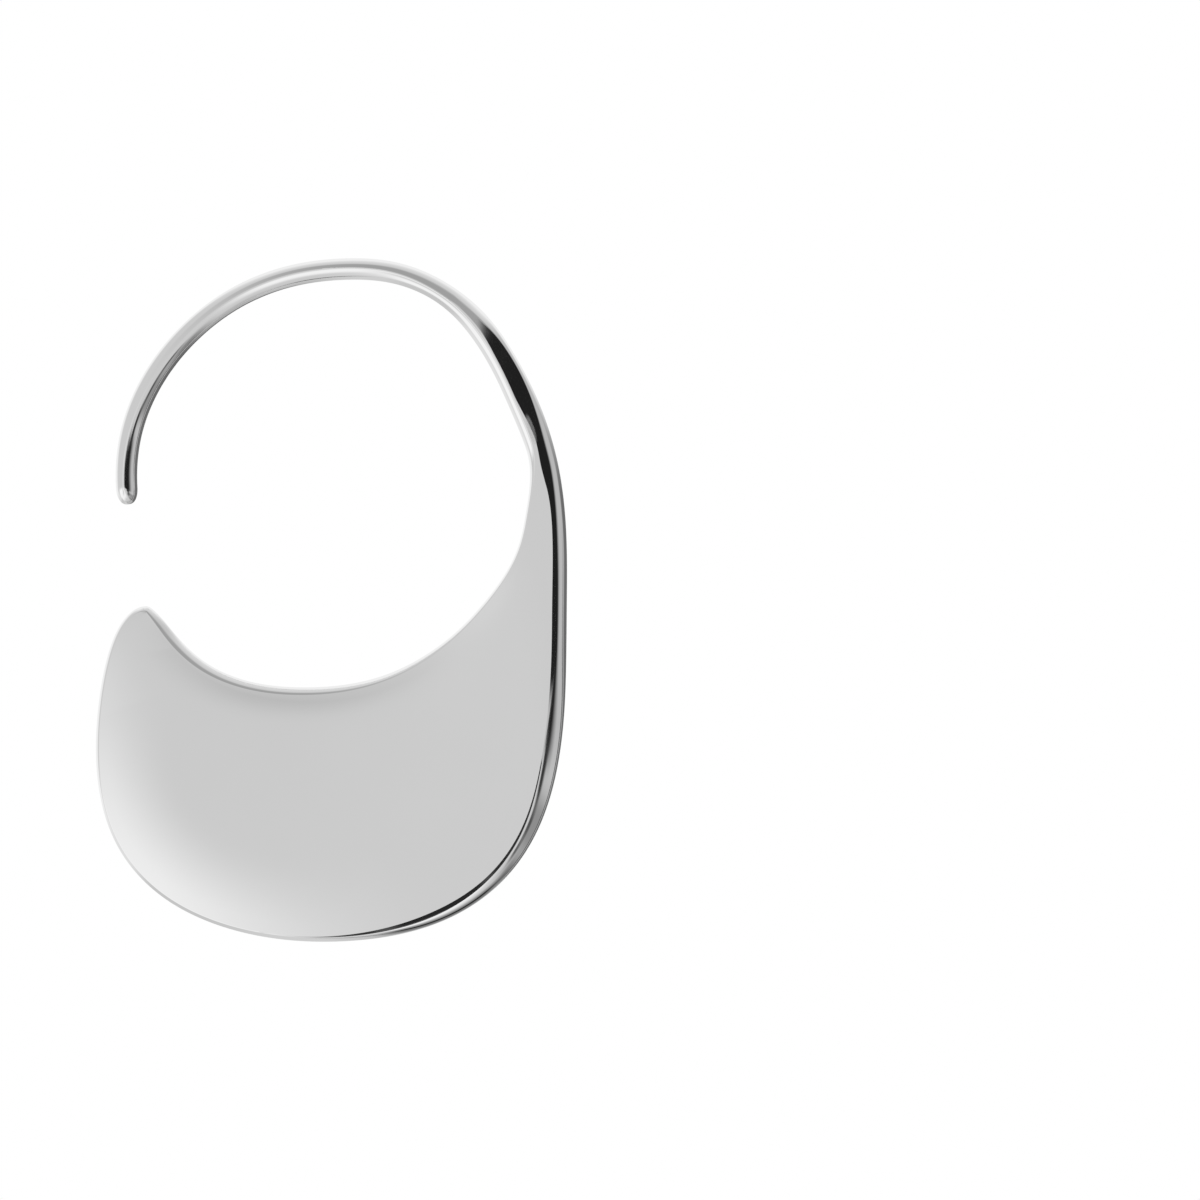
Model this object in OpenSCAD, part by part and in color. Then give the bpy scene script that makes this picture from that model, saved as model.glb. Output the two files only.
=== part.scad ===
// Open crescent hoop earring: one piece of polished metal. A round ear wire
// arches over the top, comes down the right side and spreads into a flat
// crescent plate, which hangs below and ends in a rounded horn.
// It lies on its flat back, with its face up (+Z) and its arch towards +Y.
// All lengths are in millimetres.

/* [Ear wire] */
// Diameter of the round ear wire
wire_d = 1.05; // [0.8:0.05:1.2]
// Length of the rounded tip of the ear wire
tip_len = 0.9; // [0.6:0.1:1.6]
// Fullness of the rounded tip, 2 is a plain ellipse
tip_power = 2.4; // [2:0.1:3]

/* [Crescent plate] */
// Thickness at the horn, the free end; it grows to the wire's at the heel
horn_t = 0.6; // [0.4:0.05:1]
// Fullness of the rounded rim, 2 is a plain ellipse, less is more sloped
rim_power = 1.5; // [1.3:0.1:2]
// Width of the soft roll of the face along the outer edge
outer_roll_w = 4; // [0.5:0.1:5]
// Width of the soft roll of the face along the inner edge
inner_roll_w = 2.4; // [0.2:0.1:3]

/* [Fineness] */
// Sections made for each row of the tables
steps = 5; // [2:1:5]

/* [Hidden] */

// Columns of the tables below. A row is one section across the metal. It runs
// from a point on the inner edge to a point on the outer edge. Both points are
// given as a clock angle and a radius about the centre of the arch.
IN_DEG = 0;
IN_R = 1;
OUT_DEG = 2;
OUT_R = 3;
// How far the rounding of each edge reaches in over the face
IN_ROUND = 4;
OUT_ROUND = 5;
// How far the face dips towards each edge, over the width of its soft roll
IN_DIP = 6;
OUT_DIP = 7;
// Width of the bevel between the face and the rounding of the outer edge, and
// how steeply it falls
BEVEL = 8;
SLOPE = 9;

// The crescent plate, from the horn round to the foot of the ear wire
PLATE = [
  [-146.5, 11.15, -146.5, 11.15, 0.26, 0.260, 0.000, 0.000, 0.00, 0.920],
  [-144.9, 10.96, -147.4, 11.76, 0.32, 0.210, 0.010, 0.010, 0.00, 0.920],
  [-140.5, 10.84, -145.9, 12.85, 0.42, 0.180, 0.030, 0.015, 0.00, 0.920],
  [-133.5, 10.91, -142.0, 14.23, 0.46, 0.170, 0.040, 0.050, 0.00, 0.920],
  [-124.0, 10.94, -136.0, 16.16, 0.42, 0.160, 0.040, 0.100, 0.00, 0.920],
  [-112.5, 10.66, -129.0, 18.54, 0.38, 0.160, 0.045, 0.145, 0.00, 0.910],
  [-100.0, 10.24, -121.0, 20.80, 0.37, 0.160, 0.050, 0.165, 0.00, 0.900],
  [ -87.5,  9.97, -111.5, 22.14, 0.33, 0.170, 0.055, 0.165, 0.00, 0.890],
  [ -75.0,  9.77, -100.0, 22.53, 0.26, 0.200, 0.055, 0.110, 0.00, 0.880],
  [ -63.0,  9.56,  -88.5, 22.45, 0.21, 0.230, 0.055, 0.045, 0.07, 0.885],
  [ -52.0,  9.43,  -78.0, 22.20, 0.17, 0.360, 0.045, 0.005, 0.25, 0.900],
  [ -42.0,  9.35,  -68.5, 21.31, 0.15, 0.520, 0.030, 0.000, 0.15, 0.915],
  [ -33.0,  9.38,  -59.5, 19.55, 0.13, 0.650, 0.010, 0.000, 0.10, 0.925],
  [ -25.0,  9.44,  -50.0, 17.00, 0.12, 0.810, 0.000, 0.000, 0.04, 0.860],
  [ -17.5,  9.43,  -39.5, 14.49, 0.12, 0.555, 0.000, 0.000, 0.17, 0.200],
  [ -10.5,  9.37,  -28.0, 12.71, 0.12, 0.500, 0.000, 0.000, 0.22, 0.200],
  [  -3.0,  9.41,  -15.5, 11.65, 0.14, 0.540, 0.000, 0.000, 0.15, 0.200],
  [   4.0,  9.45,   -4.0, 11.09, 0.26, 0.490, 0.000, 0.000, 0.20, 0.200],
  [   9.5,  9.37,    4.5, 10.83, 0.35, 0.450, 0.000, 0.000, 0.42, 0.200],
  [  15.0,  9.24,   12.0, 10.67, 0.39, 0.460, 0.000, 0.000, 0.31, 0.200],
  [  24.0,  9.14,   23.0, 10.56, 0.38, 0.280, 0.000, 0.000, 0.72, 0.200],
  [  35.0,  9.28,   35.0, 10.62, 0.40, 0.220, 0.000, 0.000, 0.71, 0.200],
  [  47.0,  9.60,   47.0, 10.87, 0.44, 0.400, 0.000, 0.000, 0.36, 0.180],
];

// The ear wire, from its foot over the top to its tip: the clock angle and the
// radius of the middle of the wire, and the share of its width that its inner
// side rounds over
WIRE = [
  [ 60.0, 10.490, 0.38],
  [ 74.0, 10.520, 0.50],
  [ 88.0, 10.290, 0.56],
  [103.0, 10.200, 0.57],
  [118.0, 10.160, 0.54],
  [133.0, 10.135, 0.50],
  [148.0, 10.185, 0.48],
  [162.0, 10.260, 0.52],
  [174.0, 10.260, 0.60],
  [186.6, 10.210, 0.64],
];

// From the horn to this row the plate grows thicker
HEEL_ROW = 15;
LAST_ROW = len(PLATE) + len(WIRE) - 1;

// The roundings asked for on the ear wire are this much wider than the wire, so
// that they surely meet at its top
WIRE_ROUNDS = 1.1;
function wire_row(w) =
  let (rounds = WIRE_ROUNDS * wire_d * [w[2], 1 - w[2]])
  [w[0], w[1] - wire_d / 2, w[0], w[1] + wire_d / 2, rounds[0], rounds[1], 0, 0, 0, 0];

// Past the horn the two edges change places, so the outline runs on smoothly
// round the tip. Past the ear wire's tip the last step is repeated.
function swapped(r) = [r[2], r[3], r[0], r[1], r[5], r[4], r[7], r[6], r[8], r[9]];
function row(i) =
  i < 0 ? swapped(row(-i))
  : i > LAST_ROW ? 2 * row(LAST_ROW) - row(2 * LAST_ROW - i)
  : i < len(PLATE) ? PLATE[i]
  : wire_row(WIRE[i - len(PLATE)]);

// A smooth curve through the rows: a cubic B-spline whose control rows are
// lifted a little, so that it passes through the rows that are given
function lifted(i) = (8 * row(i) - row(i - 1) - row(i + 1)) / 6;
function blend(f) = [
  pow(1 - f, 3),
  3 * pow(f, 3) - 6 * pow(f, 2) + 4,
  -3 * pow(f, 3) + 3 * pow(f, 2) + 3 * f + 1,
  pow(f, 3),
] / 6;
CONTROL = [for (i = [-2 : LAST_ROW + 2]) lifted(i)];
function at(u) =
  let (i = min(floor(u), LAST_ROW), b = blend(u - i))
  b[0] * CONTROL[i + 1] + b[1] * CONTROL[i + 2] + b[2] * CONTROL[i + 3]
  + b[3] * CONTROL[i + 4];

function polar(deg, r) = [r * cos(deg), r * sin(deg)];
function inner_point(u) = let (r = at(u)) polar(r[IN_DEG], r[IN_R]);
function outer_point(u) = let (r = at(u)) polar(r[OUT_DEG], r[OUT_R]);
function unit(v) = v / norm(v);
function left_of(v) = [-v[1], v[0]];

// Directions that point from each edge straight into the metal
NEAR = 0.02;
function into_inner(u) =
  -left_of(unit(inner_point(u + NEAR) - inner_point(u - NEAR)));
function into_outer(u) =
  left_of(unit(outer_point(u + NEAR) - outer_point(u - NEAR)));

function ease(f) = let (g = min(max(f, 0), 1)) g * g * (3 - 2 * g);
// Runs smoothly from 0 at the horn to 1 where the plate has its full thickness
function towards_heel(u) = ease(u / HEEL_ROW);
function thickness(u) = horn_t + (wire_d - horn_t) * towards_heel(u);

// How far a soft roll drops the face, at a distance x in from the edge
function roll(x, w, dip) = dip * pow(max(1 - x / w, 0), 2);

// Stops along half of a section, from its middle out to the rim. Columns: the
// share of the flat stretch and the share of the bevel that are still to cross,
// the angle round the edge of the plate, and the angle round the ear wire; both
// angles are 0 at the rim.
FACE_STOPS = [
  [0.65, 1, 90, 81], [0.35, 1, 90, 72], [0.15, 1, 90, 63], [0, 1, 90, 57],
  [0, 0, 90, 54], [0, 0, 75, 45], [0, 0, 60, 36], [0, 0, 45, 27], [0, 0, 30, 18],
  [0, 0, 15, 9], [0, 0, 0, 0],
];
BACK_STOPS = [[0, 0, 90, 67.5], [0, 0, 60, 45], [0, 0, 30, 22.5]];
AROUND = 2 * (len(FACE_STOPS) + len(BACK_STOPS)) + 2;

// The two sides of a section, in each pair of values below
INNER = 0;
OUTER = 1;
// A soft roll reaches over no more than this share of a narrow section
ROLL_SHARE = 0.65;
// The bevel leaves this share of the room between the roundings to the face
FACE_SHARE = 0.05;
// Where there is no bevel, its two stops stay this far apart
LEAST_BEVEL = 0.02;

// Distance of a stop from the rim. The bevel starts at the reach of the edge's
// rounding, the flat stretch starts at the bevel's inner edge and ends half way
// across, and round is 1 on the ear wire.
function stop_x(stop, reach, bevel, flat, round) =
  (1 - round) * (reach * (1 - cos(stop[2])) + stop[1] * bevel + stop[0] * flat)
  + round * (reach + bevel + flat) * (1 - cos(stop[3]));

// What the rounding of an edge, h high, takes off at a distance x from the rim
function rounding(x, reach, h, power) =
  x < reach ? h * (1 - pow(1 - pow(1 - x / reach, power), 1 / power)) : 0;

function lift(p, z) = [p[0], p[1], z];
function reversed(list) = [for (i = [len(list) - 1 : -1 : 0]) list[i]];

// One closed section: the middle of the face, the outer half, the middle of
// the back, and the inner half on the way up again. Two roundings that would
// meet share the width between them, which makes the ear wire round.
function section(u) =
  let (
    r = at(u),
    t = thickness(u),
    edges = [inner_point(u), outer_point(u)],
    ways = [into_inner(u), into_outer(u)],
    w = norm(edges[OUTER] - edges[INNER]),
    facing = (1 - ways[INNER] * ways[OUTER]) / 2,
    full = (r[IN_ROUND] + r[OUT_ROUND]) * facing / max(w, 0.01),
    reach = [r[IN_ROUND], r[OUT_ROUND]] / max(full, 1),
    round = pow(min(full, 1), 4),
    power = [for (f = [towards_heel(u), round]) rim_power + (2 - rim_power) * f],
    room = max(w - reach[INNER] - reach[OUTER], 0) * (1 - FACE_SHARE),
    bevel = [0, min(r[BEVEL], room)],
    bevel_w = [for (s = [INNER, OUTER]) max(bevel[s], LEAST_BEVEL) * (1 - round)],
    drop = [0, max(bevel[OUTER], 0) * r[SLOPE] * (1 - round)],
    brow_x = reach + bevel_w,
    brows = [for (s = [INNER, OUTER]) edges[s] + ways[s] * brow_x[s]],
    middle = (brows[INNER] + brows[OUTER]) / 2,
    flat = [for (s = [INNER, OUTER]) norm(middle - brows[s])],
    dips = [r[IN_DIP], r[OUT_DIP]],
    narrow_w = max(ROLL_SHARE * w, 0.01),
    roll_w = [min(inner_roll_w, narrow_w), min(outer_roll_w, narrow_w)],
    rolled_z = function (p)
      t - roll(norm(p - edges[INNER]), roll_w[INNER], dips[INNER])
      - roll(norm(p - edges[OUTER]), roll_w[OUTER], dips[OUTER]),
    plan = function (s, x)
      edges[s] + ways[s] * min(x, brow_x[s])
      + (middle - brows[s]) * max(x - brow_x[s], 0) / max(flat[s], 0.001),
    fallen = function (s, x)
      drop[s] * min(max((brow_x[s] - x) / max(bevel_w[s], 0.001), 0), 1),
    halves = [
      for (s = [INNER, OUTER])
        let (rim_z = t / 2 - dips[s])
        concat(
          [for (stop = FACE_STOPS)
            let (
              x = stop_x(stop, reach[s], bevel_w[s], flat[s], round),
              p = plan(s, x),
              off = fallen(s, x) + rounding(x, reach[s], t / 2 - drop[s], power[s])
            )
            lift(p, rolled_z(p) - off)],
          [for (stop = reversed(BACK_STOPS))
            let (
              back_reach = min(rim_z, reach[s]),
              half = reach[s] + bevel_w[s] + flat[s],
              x = stop_x(stop, back_reach, 0, half - back_reach, round)
            )
            lift(plan(s, x), rounding(x, back_reach, rim_z, 2))]
        )
    ]
  )
  concat(
    [lift(middle, rolled_z(middle))],
    halves[OUTER],
    [lift(middle, 0)],
    reversed(halves[INNER])
  );

// The last stretch of the ear wire, where its sections shrink to the tip
function tip_rows() =
  let (last = WIRE[len(WIRE) - 1], before = WIRE[len(WIRE) - 2])
  tip_len / (last[1] * (last[0] - before[0]) * PI / 180);
TIP_ANGLES = [0, 20, 38, 54, 68, 80, 90];
function tip_section(a) =
  let (
    u = LAST_ROW - tip_rows() * (1 - sin(a)),
    k = pow(max(1 - pow(sin(a), tip_power), 0), 1 / tip_power),
    c = lift((inner_point(u) + outer_point(u)) / 2, wire_d / 2)
  )
  [for (p = section(u)) c + (p - c) * k];

BODY_SECTIONS = floor((LAST_ROW - tip_rows()) * steps - 0.3);
SECTIONS = concat(
  [for (i = [0 : BODY_SECTIONS]) section(i / steps)],
  [for (a = TIP_ANGLES) tip_section(a)]
);
POINTS = [for (s = SECTIONS) each s];

// Number of a section's point. The first section is folded flat, so its two
// halves share their points, and the face starts from one of them, the bevel's
// inner edge. The last section is a single point.
BROW_STOP = 4;
LAST = len(SECTIONS) - 1;
function point_number(i, k) =
  i == 0 ? max(min(k % AROUND, AROUND - k % AROUND), BROW_STOP)
  : i == LAST ? LAST * AROUND
  : i * AROUND + k % AROUND;
FACES = [
  for (i = [0 : LAST - 1], k = [0 : AROUND - 1])
    let (
      a = point_number(i, k),
      b = point_number(i, k + 1),
      c = point_number(i + 1, k + 1),
      d = point_number(i + 1, k)
    )
    each concat(a == b ? [] : [[a, c, b]], c == d ? [] : [[a, d, c]])
];

// The middle of the outline's box goes on the origin
XS = [for (p = POINTS) p[0]];
YS = [for (p = POINTS) p[1]];
BOX_MIDDLE = [(min(XS) + max(XS)) / 2, (min(YS) + max(YS)) / 2, 0];

module crescent_hoop() {
  color("silver")
    translate(-BOX_MIDDLE)
      polyhedron(points = POINTS, faces = FACES, convexity = 4);
}

crescent_hoop();
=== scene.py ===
"""Open crescent hoop earring in polished silver, lying on its back on a white table."""
import math

import bpy
import numpy as np
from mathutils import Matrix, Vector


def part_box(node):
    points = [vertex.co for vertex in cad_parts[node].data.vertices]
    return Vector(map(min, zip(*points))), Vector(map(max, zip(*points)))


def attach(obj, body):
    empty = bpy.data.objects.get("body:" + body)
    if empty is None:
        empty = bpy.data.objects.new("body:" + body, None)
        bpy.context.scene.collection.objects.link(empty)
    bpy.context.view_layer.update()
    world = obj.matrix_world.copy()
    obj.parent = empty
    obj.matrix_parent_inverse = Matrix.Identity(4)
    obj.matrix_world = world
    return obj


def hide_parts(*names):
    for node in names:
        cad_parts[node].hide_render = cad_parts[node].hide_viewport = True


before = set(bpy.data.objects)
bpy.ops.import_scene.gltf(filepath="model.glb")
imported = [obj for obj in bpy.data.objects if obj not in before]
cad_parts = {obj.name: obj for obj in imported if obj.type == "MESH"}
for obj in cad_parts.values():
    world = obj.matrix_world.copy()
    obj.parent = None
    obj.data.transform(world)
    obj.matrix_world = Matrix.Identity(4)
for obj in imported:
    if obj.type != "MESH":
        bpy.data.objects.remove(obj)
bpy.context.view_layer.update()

MM = 0.001

# The ear wire, in millimetres: its diameter, and the length and bluntness of its tip
WIRE_D = 1.05
TIP_LEN = 0.9
TIP_POWER = 2.4

# The crescent plate: its thickness at the horn, the fullness of its rim there, and how
# far from each edge the face starts to dip
HORN_T = 0.6
RIM_POWER = 1.5
OUTER_ROLL_W = 4.0
INNER_ROLL_W = 2.4

# Columns of the plate's rows. A row is one section across the metal, from a point
# on the inner edge to a point on the outer edge, each given as a clock angle and a
# radius about the centre of the arch, in millimetres.
IN_DEG, IN_R, OUT_DEG, OUT_R = 0, 1, 2, 3
# How far the rounding of each edge reaches in over the face, and how far the face
# dips towards it
IN_ROUND, OUT_ROUND, IN_DIP, OUT_DIP = 4, 5, 6, 7
# Width and slope of the bevel between the face and the outer rounding
BEVEL, SLOPE = 8, 9
# The columns of a row that is turned over, so that its inner edge is the outer one
TURNED = [OUT_DEG, OUT_R, IN_DEG, IN_R, OUT_ROUND, IN_ROUND, OUT_DIP, IN_DIP, BEVEL, SLOPE]

# The crescent plate, from the horn round to the foot of the ear wire
PLATE = [
    [-146.5, 11.15, -146.5, 11.15, 0.26, 0.26, 0.00, 0.00, 0.00, 0.92],
    [-144.9, 10.96, -147.4, 11.76, 0.32, 0.21, 0.01, 0.01, 0.00, 0.92],
    [-140.5, 10.84, -145.9, 12.85, 0.42, 0.18, 0.03, 0.015, 0.00, 0.92],
    [-133.5, 10.91, -142.0, 14.23, 0.46, 0.17, 0.04, 0.05, 0.00, 0.92],
    [-124.0, 10.94, -136.0, 16.16, 0.42, 0.16, 0.04, 0.10, 0.00, 0.92],
    [-112.5, 10.66, -129.0, 18.54, 0.38, 0.16, 0.045, 0.145, 0.00, 0.91],
    [-100.0, 10.24, -121.0, 20.80, 0.37, 0.16, 0.05, 0.165, 0.00, 0.90],
    [-87.5, 9.97, -111.5, 22.14, 0.33, 0.17, 0.055, 0.165, 0.00, 0.89],
    [-75.0, 9.77, -100.0, 22.53, 0.26, 0.20, 0.055, 0.11, 0.00, 0.88],
    [-63.0, 9.56, -88.5, 22.45, 0.21, 0.23, 0.055, 0.045, 0.07, 0.885],
    [-52.0, 9.43, -78.0, 22.20, 0.17, 0.36, 0.045, 0.005, 0.25, 0.90],
    [-42.0, 9.35, -68.5, 21.31, 0.15, 0.52, 0.03, 0.00, 0.15, 0.915],
    [-33.0, 9.38, -59.5, 19.55, 0.13, 0.65, 0.01, 0.00, 0.10, 0.925],
    [-25.0, 9.44, -50.0, 17.00, 0.12, 0.81, 0.00, 0.00, 0.04, 0.86],
    [-17.5, 9.43, -39.5, 14.49, 0.12, 0.555, 0.00, 0.00, 0.17, 0.20],
    [-10.5, 9.37, -28.0, 12.71, 0.12, 0.50, 0.00, 0.00, 0.22, 0.20],
    [-3.0, 9.41, -15.5, 11.65, 0.14, 0.54, 0.00, 0.00, 0.15, 0.20],
    [4.0, 9.45, -4.0, 11.09, 0.26, 0.49, 0.00, 0.00, 0.20, 0.20],
    [9.5, 9.37, 4.5, 10.83, 0.35, 0.45, 0.00, 0.00, 0.42, 0.20],
    [15.0, 9.24, 12.0, 10.67, 0.39, 0.46, 0.00, 0.00, 0.31, 0.20],
    [24.0, 9.14, 23.0, 10.56, 0.38, 0.28, 0.00, 0.00, 0.72, 0.20],
    [35.0, 9.28, 35.0, 10.62, 0.40, 0.22, 0.00, 0.00, 0.71, 0.20],
    [47.0, 9.60, 47.0, 10.87, 0.44, 0.40, 0.00, 0.00, 0.36, 0.18],
]

# The ear wire, from its foot over the top to its tip: the clock angle and the radius
# of the middle of the wire, and the share of its width that its inner side rounds over
WIRE = [
    [60.0, 10.49, 0.38],
    [74.0, 10.52, 0.50],
    [88.0, 10.29, 0.56],
    [103.0, 10.20, 0.57],
    [118.0, 10.16, 0.54],
    [133.0, 10.135, 0.50],
    [148.0, 10.185, 0.48],
    [162.0, 10.26, 0.52],
    [174.0, 10.26, 0.60],
    [186.6, 10.21, 0.64],
]

# The two roundings asked for on the ear wire are together this many times as wide as
# the wire, so that they surely meet at its top
WIRE_ROUNDS = 1.1
# From the horn to this row the plate grows thicker
HEEL_ROW = 15
# A soft roll reaches over no more than this share of a narrow section
ROLL_SHARE = 0.65
# The bevel leaves this share of the room between the roundings to the face
FACE_SHARE = 0.05
# Where there is no bevel, its stops stay this far apart
LEAST_BEVEL = 0.02
# The power of a quarter circle, where a lower one gives a flatter rounding
CIRCLE_POWER = 2
# How late a section turns from the plate's form into the ear wire's ring
RING_POWER = 4
# The least width and the least stretch of a section that anything is divided by
LEAST_WIDTH, LEAST_RUN = 0.01, 0.001

# How finely the metal is made: sections for each row, and stops across a section
SECTIONS_PER_ROW = 24
TIP_SECTIONS = 24
FACE_STEPS = 12
BEVEL_STEPS = 2
ROUND_STEPS = 18
BACK_STEPS = 8
# Share of the flat back in the narrow strip next to its rounding
BACK_STRIP = 0.03
# Angles round the ear wire at which the face, the bevel and the rounding start
WIRE_FACE_DEG = 90
WIRE_BEVEL_DEG = 57
WIRE_ROUND_DEG = 54

INNER, OUTER = 0, 1
SIDES = (INNER, OUTER)


# The rows, and the smooth curve through them

def wire_row(deg, r, lean):
    rounds = [WIRE_ROUNDS * lean * WIRE_D, WIRE_ROUNDS * (1 - lean) * WIRE_D]
    return [deg, r - WIRE_D / 2, deg, r + WIRE_D / 2, *rounds, 0, 0, 0, 0]


def control_rows():
    """Rows of the spline, lifted a little so that it passes through the rows given.

    Three more rows stand at each end: past the horn the first rows turned over, and past
    the tip the last rows carried onward."""
    rows = np.array(PLATE + [wire_row(*w) for w in WIRE], float)
    onward = 2 * rows[-1] - rows[-2:-5:-1]
    run = np.vstack([rows[3:0:-1, TURNED], rows, onward])
    return (8 * run[1:-1] - run[:-2] - run[2:]) / 6


CONTROL = control_rows()
LAST_ROW = len(PLATE) + len(WIRE) - 1


def row_at(u):
    """The row at each place u along the hoop, on a cubic B-spline."""
    i = np.minimum(np.floor(u), LAST_ROW).astype(int)
    f = (u - i)[:, None]
    shares = [(1 - f) ** 3, 3 * f ** 3 - 6 * f ** 2 + 4,
              -3 * f ** 3 + 3 * f ** 2 + 3 * f + 1, f ** 3]
    return sum(share * CONTROL[i + 1 + k] for k, share in enumerate(shares)) / 6


def edge_point(u, deg, r):
    row = row_at(u)
    a = np.radians(row[:, deg])
    return np.stack([row[:, r] * np.cos(a), row[:, r] * np.sin(a)], 1)


def left_of_edge(u, deg, r, near=0.02):
    """Unit direction to the left of an edge, seen along the hoop."""
    along = edge_point(u + near, deg, r) - edge_point(u - near, deg, r)
    along /= np.linalg.norm(along, axis=1)[:, None]
    return np.stack([-along[:, 1], along[:, 0]], 1)


# The section across the metal

def towards_heel(u):
    """Runs smoothly from 0 at the horn to 1 where the plate has its full thickness."""
    f = np.clip(u / HEEL_ROW, 0, 1)
    return f * f * (3 - 2 * f)


def thickness(u):
    return HORN_T + (WIRE_D - HORN_T) * towards_heel(u)


def roll(x, width, dip):
    return dip * np.maximum(1 - x / width, 0) ** 2


def rounding(x, reach, height, power):
    v = np.clip(1 - x / reach, 0, 1)
    return height * (1 - np.maximum(1 - v ** power, 0) ** (1 / power))


def steps(count):
    """Shares of a run that is crossed in equal steps, with its end and without its start."""
    return np.arange(1, count + 1) / count


def section_stops():
    """Stops from the middle of the face to the rim, and from the rim to the back.

    Columns: the share of the flat stretch and of the bevel still to cross, the angle
    round the edge of the plate, and the angle round the ear wire."""
    face_run = WIRE_FACE_DEG - WIRE_BEVEL_DEG
    bevel_run = WIRE_BEVEL_DEG - WIRE_ROUND_DEG
    face = [[1 - f, 1, 90, WIRE_FACE_DEG - face_run * f] for f in steps(FACE_STEPS)]
    face += [[0, 1 - f, 90, WIRE_BEVEL_DEG - bevel_run * f] for f in steps(BEVEL_STEPS)]
    face += [[0, 0, 90 * (1 - f), WIRE_ROUND_DEG * (1 - f)] for f in steps(ROUND_STEPS)]
    # the last two steps round the ear wire cross the flat strip and the rest of the back
    wire_steps = BACK_STEPS + 2
    back = [[0, 0, 90 * k / BACK_STEPS, 90 * k / wire_steps] for k in range(1, BACK_STEPS + 1)]
    back += [[BACK_STRIP, 0, 90, 90 * (BACK_STEPS + 1) / wire_steps]]
    return face, back


def stop_x(stop, reach, bevel, flat, ring):
    """Distance of a stop from the rim; ring is 1 on the ear wire and 0 on the plate."""
    flat_share, bevel_share, plate_deg, wire_deg = stop
    on_plate = reach * (1 - math.cos(math.radians(plate_deg)))
    on_plate = on_plate + bevel_share * bevel + flat_share * flat
    on_wire = (reach + bevel + flat) * (1 - math.cos(math.radians(wire_deg)))
    return (1 - ring) * on_plate + ring * on_wire


def section_points(u):
    """Points of the closed sections at the places u, as sections by stops by XYZ."""
    face_stops, back_stops = section_stops()
    row, t = row_at(u), thickness(u)
    edges = [edge_point(u, IN_DEG, IN_R), edge_point(u, OUT_DEG, OUT_R)]
    ways = [-left_of_edge(u, IN_DEG, IN_R), left_of_edge(u, OUT_DEG, OUT_R)]
    width = np.linalg.norm(edges[OUTER] - edges[INNER], axis=1)

    # how far the two roundings fill the section, and how far it is a ring for that
    facing = (1 - (ways[INNER] * ways[OUTER]).sum(1)) / 2
    full = (row[:, IN_ROUND] + row[:, OUT_ROUND]) * facing / np.maximum(width, LEAST_WIDTH)
    reach = [row[:, k] / np.maximum(full, 1) for k in (IN_ROUND, OUT_ROUND)]
    ring = np.minimum(full, 1) ** RING_POWER
    power = [RIM_POWER + (CIRCLE_POWER - RIM_POWER) * f for f in (towards_heel(u), ring)]

    # the bevel, which only the outer side has
    room = np.maximum(width - reach[INNER] - reach[OUTER], 0) * (1 - FACE_SHARE)
    bevel = np.maximum(np.minimum(row[:, BEVEL], room), 0)
    bevel_w = [np.maximum(b, LEAST_BEVEL) * (1 - ring) for b in (0, bevel)]
    drop = [0 * t, bevel * row[:, SLOPE] * (1 - ring)]

    # where the face ends on each side, its middle, and its soft rolls
    brow_x = [reach[s] + bevel_w[s] for s in SIDES]
    brows = [edges[s] + ways[s] * brow_x[s][:, None] for s in SIDES]
    middle = (brows[INNER] + brows[OUTER]) / 2
    flat = [np.linalg.norm(middle - brows[s], axis=1) for s in SIDES]
    narrow_w = np.maximum(ROLL_SHARE * width, LEAST_WIDTH)
    rolls = [(np.minimum(INNER_ROLL_W, narrow_w), row[:, IN_DIP]),
             (np.minimum(OUTER_ROLL_W, narrow_w), row[:, OUT_DIP])]

    def rolled_z(p):
        return t - sum(roll(np.linalg.norm(p - edges[s], axis=1), *rolls[s]) for s in SIDES)

    def plan(s, x):
        past = np.maximum(x - brow_x[s], 0) / np.maximum(flat[s], LEAST_RUN)
        to_brow = edges[s] + ways[s] * np.minimum(x, brow_x[s])[:, None]
        return to_brow + (middle - brows[s]) * past[:, None]

    def half_section(s):
        points = []
        for stop in face_stops:
            x = stop_x(stop, reach[s], bevel_w[s], flat[s], ring)
            p = plan(s, x)
            fallen = np.clip((brow_x[s] - x) / np.maximum(bevel_w[s], LEAST_RUN), 0, 1)
            z = rolled_z(p) - drop[s] * fallen
            z = z - rounding(x, reach[s], t / 2 - drop[s], power[s])
            points.append(np.column_stack([p, z]))
        rim_z = t / 2 - rolls[s][1]
        back_reach = np.minimum(rim_z, reach[s])
        back_flat = reach[s] + bevel_w[s] + flat[s] - back_reach
        for stop in back_stops:
            x = stop_x(stop, back_reach, 0, back_flat, ring)
            z = rounding(x, back_reach, rim_z, CIRCLE_POWER)
            points.append(np.column_stack([plan(s, x), z]))
        return np.stack(points, 1)

    top = np.column_stack([middle, rolled_z(middle)])[:, None]
    bottom = np.column_stack([middle, 0 * t])[:, None]
    return np.concatenate([top, half_section(OUTER), bottom, half_section(INNER)[:, ::-1]], 1)


def hoop_sections():
    """All sections from the horn to the tip of the ear wire, where they shrink."""
    (before_deg, _, _), (last_deg, last_r, _) = WIRE[-2:]
    tip_rows = TIP_LEN / (last_r * math.radians(last_deg - before_deg))
    tip_start = LAST_ROW - tip_rows
    body = section_points(np.linspace(0, tip_start, int(tip_start * SECTIONS_PER_ROW)))
    a = np.sin(np.radians(np.linspace(0, 90, TIP_SECTIONS)))
    u = LAST_ROW - tip_rows * (1 - a)
    size = (np.maximum(1 - a ** TIP_POWER, 0) ** (1 / TIP_POWER))[:, None, None]
    core = (edge_point(u, IN_DEG, IN_R) + edge_point(u, OUT_DEG, OUT_R)) / 2
    core = np.column_stack([core, np.full(len(u), WIRE_D / 2)])[:, None]
    return np.concatenate([body[:-1], core + (section_points(u) - core) * size])


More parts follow.
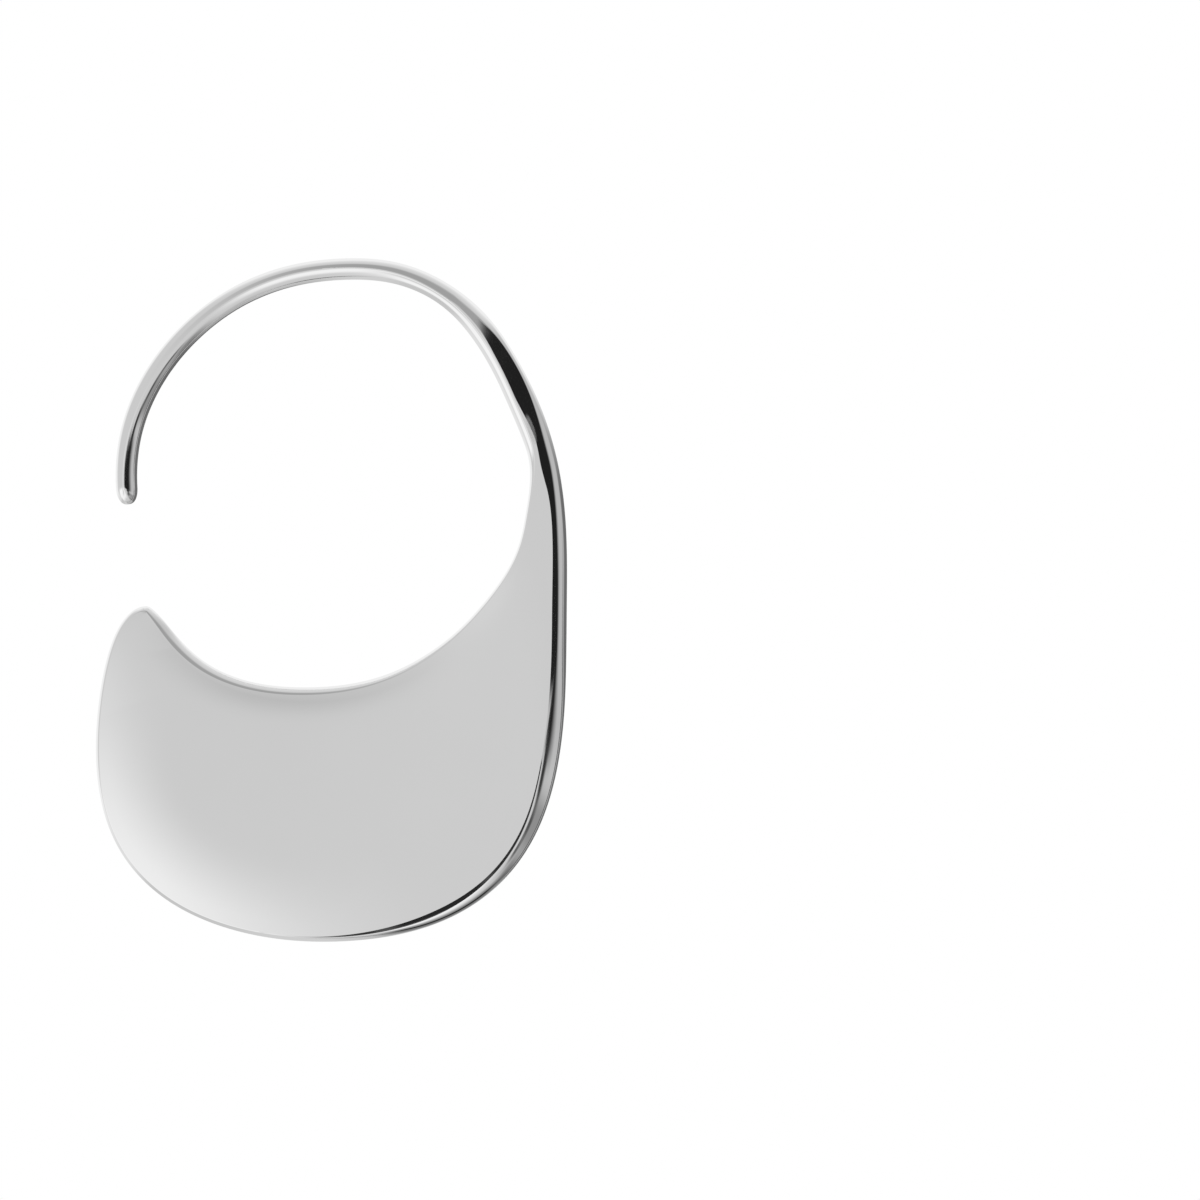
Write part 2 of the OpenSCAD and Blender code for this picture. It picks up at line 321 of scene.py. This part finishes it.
def hoop_faces(sections, around):
    """Quads between neighbouring sections. The first section is folded flat, so its two
    halves share their points, and the face starts from one of them. The last section is
    a single point."""
    number = np.arange(sections * around).reshape(sections, around)
    k = np.arange(around)
    number[0] = np.maximum(np.minimum(k, around - k), FACE_STEPS)
    number[-1] = number[-1, 0]
    near, far = number[:-1], number[1:]
    corners = np.stack([near, far, np.roll(far, -1, 1), np.roll(near, -1, 1)], -1)
    faces = []
    for quad in corners.reshape(-1, 4).tolist():
        face = [c for i, c in enumerate(quad) if c != quad[i - 1]]
        if len(set(face)) > 2:
            faces.append(face)
    return faces


def shift_to_cad(points):
    """The way from the arch's centre, which the tables start from, to the CAD solid."""
    lo, hi = (np.array(corner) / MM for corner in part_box("crescent_hoop"))
    middle = (points.min(0) + points.max(0)) / 2
    return np.array([(lo[0] + hi[0]) / 2 - middle[0], (lo[1] + hi[1]) / 2 - middle[1], lo[2]])


def add_to_scene(name, data):
    thing = bpy.data.objects.new(name, data)
    bpy.context.collection.objects.link(thing)
    return thing


def make_hoop(sections, shift):
    points = sections.reshape(-1, 3) + shift
    faces = hoop_faces(*sections.shape[:2])
    used = np.unique([corner for face in faces for corner in face])
    renumber = np.zeros(len(points), int)
    renumber[used] = np.arange(len(used))
    faces = [renumber[face].tolist() for face in faces]
    mesh = bpy.data.meshes.new("crescent_hoop_metal")
    mesh.from_pydata((points[used] * MM).tolist(), [], faces)
    mesh.validate()
    mesh.shade_smooth()
    # the bevel's two sides are crisp, all along the outer edge
    stop = used % sections.shape[1]
    for edge in mesh.edges:
        a, b = stop[edge.vertices[0]], stop[edge.vertices[1]]
        edge.use_edge_sharp = bool(a == b and a in (FACE_STEPS, FACE_STEPS + BEVEL_STEPS))
    return add_to_scene("hoop_metal", mesh)


# Nodes

class Nodes:
    """Adds nodes to a tree and links their inputs by name."""

    def __init__(self, tree):
        self.tree = tree

    def add(self, kind, inputs=None, **settings):
        node = self.tree.nodes.new(kind)
        for name, value in settings.items():
            setattr(node, name, value)
        for name, value in (inputs or {}).items():
            if isinstance(value, bpy.types.NodeSocket):
                self.tree.links.new(value, node.inputs[name])
            else:
                node.inputs[name].default_value = value
        return node

    def math(self, operation, a, b=0.0):
        return self.add("ShaderNodeMath", {0: a, 1: b}, operation=operation).outputs[0]

    def ramp(self, value, start, end, low=0.0, high=1.0):
        """Runs smoothly from low to high as the value goes from start to end."""
        limits = {"Value": value, "From Min": start, "From Max": end,
                  "To Min": low, "To Max": high}
        node = self.add("ShaderNodeMapRange", limits, interpolation_type="SMOOTHSTEP")
        return node.outputs["Result"]

    def between(self, share, a, b):
        """Mix of two numbers."""
        node = self.add("ShaderNodeMix", {"Factor": share, "A": a, "B": b}, data_type="FLOAT")
        return node.outputs["Result"]

    def noise(self, place, scale=1.0, detail=2.0):
        """Soft random values between 0 and 1."""
        values = {"Vector": place, "Scale": scale, "Detail": detail}
        return self.add("ShaderNodeTexNoise", values).outputs["Fac"]

    def blend(self, share, first, second):
        """Mix of two shaders."""
        values = {0: share, 1: first.outputs[0], 2: second.outputs[0]}
        return self.add("ShaderNodeMixShader", values)


def empty_material(name):
    """A new material, and the means to add its nodes."""
    paint = bpy.data.materials.new(name)
    paint.use_nodes = True
    paint.node_tree.nodes.clear()
    return paint, Nodes(paint.node_tree)


# The studio: what the polished metal mirrors

# Brightness of the white tent that is all around
TENT = 0.62
# The tent's glow, which the face mirrors: its brightness, how far the face leans to the
# lower left where it grows, and the steepness at which it ends
GLOW, GLOW_LEAN, GLOW_END = 0.93, (0.01, 0.12), (0.11, 0.17)

# Cards, walls and windows round the earring. A polished face mirrors a patch to an
# eye straight above it when the face leans towards the patch's bearing, and steepness
# is the slope at which it does so; past 1 the patch is below the level of the table.
# Columns: brightness, bearing from and to and its soft edge in degrees, the steepness
# over which the patch starts, and the steepness over which it ends.
PATCHES = [
    # windows on the lower left
    (0.97, -172, -140, 12, 0.12, 0.35, 0.75, 1.10),
    (0.94, -156, -98, 30, 0.16, 0.42, 0.62, 0.95),
    # window below
    (0.93, -104, -62, 24, 0.02, 0.15, 0.22, 0.50),
    # grey wall above, with light over it
    (0.36, 12, 122, 70, 0.01, 0.09, 0.36, 0.58),
    (0.92, 35, 122, 24, 0.45, 1.60, 90, 99),
    # walls below, down past the level of the table
    (0.76, -165, -130, 16, 0.80, 1.20, 90, 99),
    (0.58, -138, -100, 16, 0.75, 1.05, 90, 99),
    (0.64, -106, -84, 16, 0.35, 1.10, 90, 99),
    (0.52, -86, -66, 14, 0.50, 1.10, 90, 99),
    (0.44, -68, -50, 14, 0.50, 1.00, 90, 99),
    # shade on the lower right, with a slanting dark strip in it
    (0.28, -36, -18, 12, 0.16, 0.30, 0.90, 1.10),
    (0.24, -50, -36, 12, 0.20, 0.62, 0.90, 1.10),
    (0.04, -24, -10, 8, 0.14, 0.19, 0.28, 0.40),
    (0.08, -33, -24, 8, 0.22, 0.28, 0.36, 0.46),
    (0.12, -42, -33, 8, 0.23, 0.28, 0.36, 0.46),
    # light strip on the right, and dark under it
    (0.50, -15, 40, 14, 0.35, 0.50, 90, 99),
    (0.15, -50, 16, 20, 0.95, 1.20, 90, 99),
    (0.12, -78, -24, 20, 2.00, 2.80, 90, 99),
    # bright below the level of the table, on the left and above
    (0.90, 24, 200, 20, 1.10, 1.90, 90, 99),
    # black card on the right
    (0.014, -13, 37, 8, 0.015, 0.045, 0.28, 0.60),
    # dark gap along the table's edge, on both sides of the card that stands by the rim
    (0.026, -92, -76, 14, 0.865, 0.885, 0.955, 0.975),
    (0.026, -48, 0, 10, 0.865, 0.885, 0.955, 0.975),
]
HALF_TURN = 180.0
# The least rise from straight down that a ray's steepness is worked out with
LEAST_RISE = 0.0001


def patch_group():
    """Group: the soft mask of one patch, by bearing and steepness."""
    tree = bpy.data.node_groups.new("studio_patch", "ShaderNodeTree")
    names = ["Bearing", "Steepness", "Bearing Middle", "Bearing Half", "Bearing Edge",
             "Start", "Start Full", "End Full", "End"]
    for name in names:
        tree.interface.new_socket(name, in_out="INPUT", socket_type="NodeSocketFloat")
    tree.interface.new_socket("Mask", in_out="OUTPUT", socket_type="NodeSocketFloat")
    n = Nodes(tree)
    given = n.add("NodeGroupInput").outputs
    off = n.math("SUBTRACT", given["Bearing"], given["Bearing Middle"])
    off = n.add("ShaderNodeMath", {0: off, 1: HALF_TURN, 2: -HALF_TURN}, operation="WRAP")
    off = n.math("ABSOLUTE", off.outputs[0])
    half_edge = n.math("MULTIPLY", given["Bearing Edge"], 0.5)
    inside = n.ramp(off, n.math("SUBTRACT", given["Bearing Half"], half_edge),
                    n.math("ADD", given["Bearing Half"], half_edge), 1.0, 0.0)
    starts = n.ramp(given["Steepness"], given["Start"], given["Start Full"])
    ends = n.ramp(given["Steepness"], given["End Full"], given["End"], 1.0, 0.0)
    mask = n.math("MULTIPLY", inside, n.math("MULTIPLY", starts, ends))
    n.add("NodeGroupOutput", {"Mask": mask})
    return tree


def face_glow(n, lean_x, lean_y, steepness):
    """The tent as the face mirrors it, which grows lighter towards the lower left."""
    towards = n.math("MULTIPLY", n.math("ADD", lean_x, lean_y), -math.sqrt(0.5))
    glow = n.math("MULTIPLY", n.ramp(towards, *GLOW_LEAN), n.ramp(steepness, *GLOW_END, 1.0, 0.0))
    return n.between(glow, TENT, GLOW)


def make_studio():
    """The tent and its patches, as the world's light. The camera itself sees plain white."""
    world = bpy.data.worlds.new("studio")
    world.use_nodes = True
    world.node_tree.nodes.clear()
    n = Nodes(world.node_tree)
    ray = n.add("ShaderNodeTexCoord").outputs["Generated"]
    ray = n.add("ShaderNodeSeparateXYZ", {"Vector": ray}).outputs
    rise = n.math("MAXIMUM", n.math("ADD", ray["Z"], 1.0), LEAST_RISE)
    lean_x = n.math("DIVIDE", ray["X"], rise)
    lean_y = n.math("DIVIDE", ray["Y"], rise)
    steepness = n.math("SQRT", n.math("ADD", n.math("MULTIPLY", lean_x, lean_x),
                                      n.math("MULTIPLY", lean_y, lean_y)))
    bearing = n.math("DEGREES", n.math("ARCTAN2", lean_y, lean_x))
    light = face_glow(n, lean_x, lean_y, steepness)
    group = patch_group()
    for tone, from_deg, to_deg, edge, start, start_full, end_full, end in PATCHES:
        values = {"Bearing": bearing, "Bearing Middle": (from_deg + to_deg) / 2,
                  "Bearing Half": (to_deg - from_deg) / 2, "Bearing Edge": edge,
                  "Steepness": steepness, "Start": start, "Start Full": start_full,
                  "End Full": end_full, "End": end}
        patch = n.add("ShaderNodeGroup", values, node_tree=group)
        light = n.between(patch.outputs["Mask"], light, tone)
    light = n.between(n.add("ShaderNodeLightPath").outputs["Is Camera Ray"], light, 1.0)
    background = n.add("ShaderNodeBackground", {"Color": light})
    n.add("ShaderNodeOutputWorld", {"Surface": background.outputs[0]})
    # the metal only mirrors the studio, so no rays need to be aimed at its lights
    world.cycles.sampling_method = "NONE"
    bpy.context.scene.world = world


# The table: half its length and width, and how far it lies below the earring's back, so
# that the two don't share one plane
TABLE_HALF = 1500 * MM
TABLE_DROP = 0.02 * MM


def make_table():
    """A plain white table, so brightly lit that no shadow shows on it. From below it is
    clear, so that the earring's back shows."""
    ways = [(-1, -1), (1, -1), (1, 1), (-1, 1)]
    corners = [(x * TABLE_HALF, y * TABLE_HALF, -TABLE_DROP) for x, y in ways]
    mesh = bpy.data.meshes.new("white_table")
    mesh.from_pydata(corners, [], [(0, 1, 2, 3)])
    table = add_to_scene("white_table", mesh)
    paint, n = empty_material("lit_white")
    glow = n.add("ShaderNodeEmission", {"Color": (1, 1, 1, 1), "Strength": 1.0})
    clear = n.add("ShaderNodeBsdfTransparent")
    below = n.add("ShaderNodeNewGeometry").outputs["Backfacing"]
    surface = n.blend(below, glow, clear)
    n.add("ShaderNodeOutputMaterial", {"Surface": surface.outputs[0]})
    mesh.materials.append(paint)
    # the metal mirrors the studio below the table's level, not the table
    table.visible_glossy = False


# A dark card stands close to the rim at the lower right: the rows of the plate that it
# stands along, in how many flat strips, its distance from the rim, and its lowest and
# highest point
CARD_ROWS = (9.2, 11.55)
CARD_STEPS = 24
CARD_GAP = 1.2
CARD_LOW, CARD_TOP = -5.0, 2.3
# Length of its soft ends, along X
CARD_FADE = 2.2
# The card's brightness, and how much lighter it grows towards its foot and its top
CARD_TONE, CARD_FOOT, CARD_HEAD = 0.18, 0.42, 0.42
# Heights between which the card grows darker from its foot, and lighter to its top
FOOT_RISE, HEAD_RISE = (-0.7, 0.7), (1.2, 2.3)
# The black line along the card, which the bevel mirrors: its brightness, and its soft
# lower and upper edge
LINE_TONE, LINE_LOW, LINE_HIGH = 0.02, (0.83, 0.92), (1.24, 1.32)


def make_card(shift):
    """The card curves along with the rim. The metal mirrors it; the camera doesn't see it."""
    u = np.linspace(*CARD_ROWS, CARD_STEPS + 1)
    line = edge_point(u, OUT_DEG, OUT_R) - CARD_GAP * left_of_edge(u, OUT_DEG, OUT_R)
    line = line + shift[:2]
    corners = [(x * MM, y * MM, z * MM) for z in (CARD_LOW, CARD_TOP) for x, y in line]
    above = CARD_STEPS + 1
    faces = [(k, k + 1, above + k + 1, above + k) for k in range(CARD_STEPS)]
    mesh = bpy.data.meshes.new("dark_card")
    mesh.from_pydata(corners, [], faces)
    card = add_to_scene("dark_card", mesh)
    card.visible_camera = False
    card.visible_diffuse = False
    card.visible_shadow = False
    paint, n = empty_material("graded_card")
    place = n.add("ShaderNodeTexCoord").outputs["Object"]
    place = n.add("ShaderNodeSeparateXYZ", {"Vector": place}).outputs
    height = n.math("DIVIDE", place["Z"], MM)
    across = n.math("DIVIDE", place["X"], MM)
    tone = n.math("ADD", n.ramp(height, *HEAD_RISE, CARD_TONE, CARD_TONE + CARD_HEAD),
                  n.ramp(height, *FOOT_RISE, CARD_FOOT, 0.0))
    in_line = n.math("MULTIPLY", n.ramp(height, *LINE_LOW),
                     n.ramp(height, *LINE_HIGH, 1.0, 0.0))
    tone = n.between(in_line, tone, LINE_TONE)
    glow = n.add("ShaderNodeEmission", {"Color": tone, "Strength": 1.0})
    left, right = line[:, 0].min(), line[:, 0].max()
    cover = n.math("MULTIPLY", n.ramp(across, left, left + CARD_FADE),
                   n.ramp(across, right - CARD_FADE, right, 1.0, 0.0))
    clear = n.add("ShaderNodeBsdfTransparent")
    surface = n.blend(cover, clear, glow)
    n.add("ShaderNodeOutputMaterial", {"Surface": surface.outputs[0]})
    mesh.materials.append(paint)


# The metal

# The silver's own colour, which varies softly between these two
SILVER_DIM, SILVER_BRIGHT = (0.945, 0.945, 0.945, 1), (0.96, 0.96, 0.96, 1)
# Roughness of the polish from its clearest to its haziest, and how much the wipe marks
# and the patch of polish marks add to it
HAZE_ROUGHNESS = (0.045, 0.075)
WIPE_ROUGHNESS = 0.05
MARKS_ROUGHNESS = 0.25
# How fine the haze, the wipe marks and the grain are, in waves to a metre; the wipe marks
# run along Y and are close together along X
HAZE_WAVES = 260.0
WIPE_WAVES = (9000.0, 700.0, 700.0)
GRAIN_WAVES = 14000.0
# The part of the noise over which the haze and the wipe marks come up
HAZE_RISE, WIPE_RISE = (0.35, 0.75), (0.62, 0.8)
# How much of the fine relief is wipe marks, the rest being grain, and its strength and depth
WIPE_SHARE = 0.6
RELIEF, RELIEF_DEPTH = 0.02, 0.01 * MM

# Where the polish marks lie, their half width, half length and half depth, and how far
# they are turned
MARKS_PLACE = (9.76 * MM, 8.30 * MM, 1.05 * MM)
MARKS_SIZE = (0.20 * MM, 0.95 * MM, 1.0 * MM)
MARKS_TURN = 18
# How often the streaks in them change, across and along, where they fade out as a share
# of their size, and how faint they are between the streaks
STREAK_WAVES = (14.0, 1.2, 1.0)
STREAK_RISE = (0.25, 0.6)
MARKS_FADE = (0.55, 1.0)
MARKS_FAINT = 0.4


def polish_marks(n, place):
    """A small patch of fine marks, left where the plate turns into the ear wire."""
    box = {"Vector": place, "Location": MARKS_PLACE, "Scale": MARKS_SIZE,
           "Rotation": (0, 0, math.radians(MARKS_TURN))}
    spot = n.add("ShaderNodeMapping", box, vector_type="TEXTURE").outputs[0]
    reach = n.add("ShaderNodeVectorMath", {0: spot}, operation="LENGTH").outputs["Value"]
    streaks = n.add("ShaderNodeMapping", {"Vector": spot, "Scale": STREAK_WAVES}).outputs[0]
    streaks = n.ramp(n.noise(streaks, detail=3.0), *STREAK_RISE, MARKS_FAINT, 1.0)
    return n.math("MULTIPLY", n.ramp(reach, *MARKS_FADE, 1.0, 0.0), streaks)


def polished_silver():
    paint = bpy.data.materials.new("polished_silver")
    paint.use_nodes = True
    tree = paint.node_tree
    n = Nodes(tree)
    place = n.add("ShaderNodeTexCoord").outputs["Object"]
    haze = n.noise(place, HAZE_WAVES, detail=3.0)
    wipes = n.add("ShaderNodeMapping", {"Vector": place, "Scale": WIPE_WAVES}).outputs[0]
    wipes = n.noise(wipes, detail=4.0)
    grain = n.noise(place, GRAIN_WAVES, detail=2.0)
    roughness = n.math("ADD", n.ramp(haze, *HAZE_RISE, *HAZE_ROUGHNESS),
                       n.ramp(wipes, *WIPE_RISE, 0.0, WIPE_ROUGHNESS))
    marks = n.math("MULTIPLY", polish_marks(n, place), MARKS_ROUGHNESS)
    roughness = n.math("ADD", roughness, marks)
    tone = n.add("ShaderNodeMix", {"Factor": haze, "A": SILVER_DIM, "B": SILVER_BRIGHT},
                 data_type="RGBA")
    height = n.math("ADD", n.math("MULTIPLY", wipes, WIPE_SHARE),
                    n.math("MULTIPLY", grain, 1 - WIPE_SHARE))
    relief = {"Height": height, "Strength": RELIEF, "Distance": RELIEF_DEPTH}
    bump = n.add("ShaderNodeBump", relief)
    shader = tree.nodes["Principled BSDF"]
    shader.inputs["Metallic"].default_value = 1.0
    tree.links.new(tone.outputs["Result"], shader.inputs["Base Color"])
    tree.links.new(roughness, shader.inputs["Roughness"])
    tree.links.new(bump.outputs["Normal"], shader.inputs["Normal"])
    return paint


# The camera looks straight down from above the middle of the photograph, a little to
# the right of the earring
PHOTO_MIDDLE = (13.1 * MM, 0.0)
PHOTO_WIDTH = 58.56 * MM
CAMERA_HEIGHT = 0.6
SENSOR_WIDTH = 36


def make_camera():
    data = bpy.data.cameras.new("photo_camera")
    data.sensor_width = SENSOR_WIDTH
    data.lens = SENSOR_WIDTH * CAMERA_HEIGHT / PHOTO_WIDTH
    camera = add_to_scene("photo_camera", data)
    camera.location = (*PHOTO_MIDDLE, CAMERA_HEIGHT)
    bpy.context.scene.camera = camera


make_camera()
make_studio()
make_table()

sections = hoop_sections()
shift = shift_to_cad(sections.reshape(-1, 3))
make_card(shift)
hoop = make_hoop(sections, shift)
hoop.data.materials.append(polished_silver())
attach(hoop, "root")
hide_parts("crescent_hoop")

bpy.context.scene.view_settings.view_transform = "Standard"
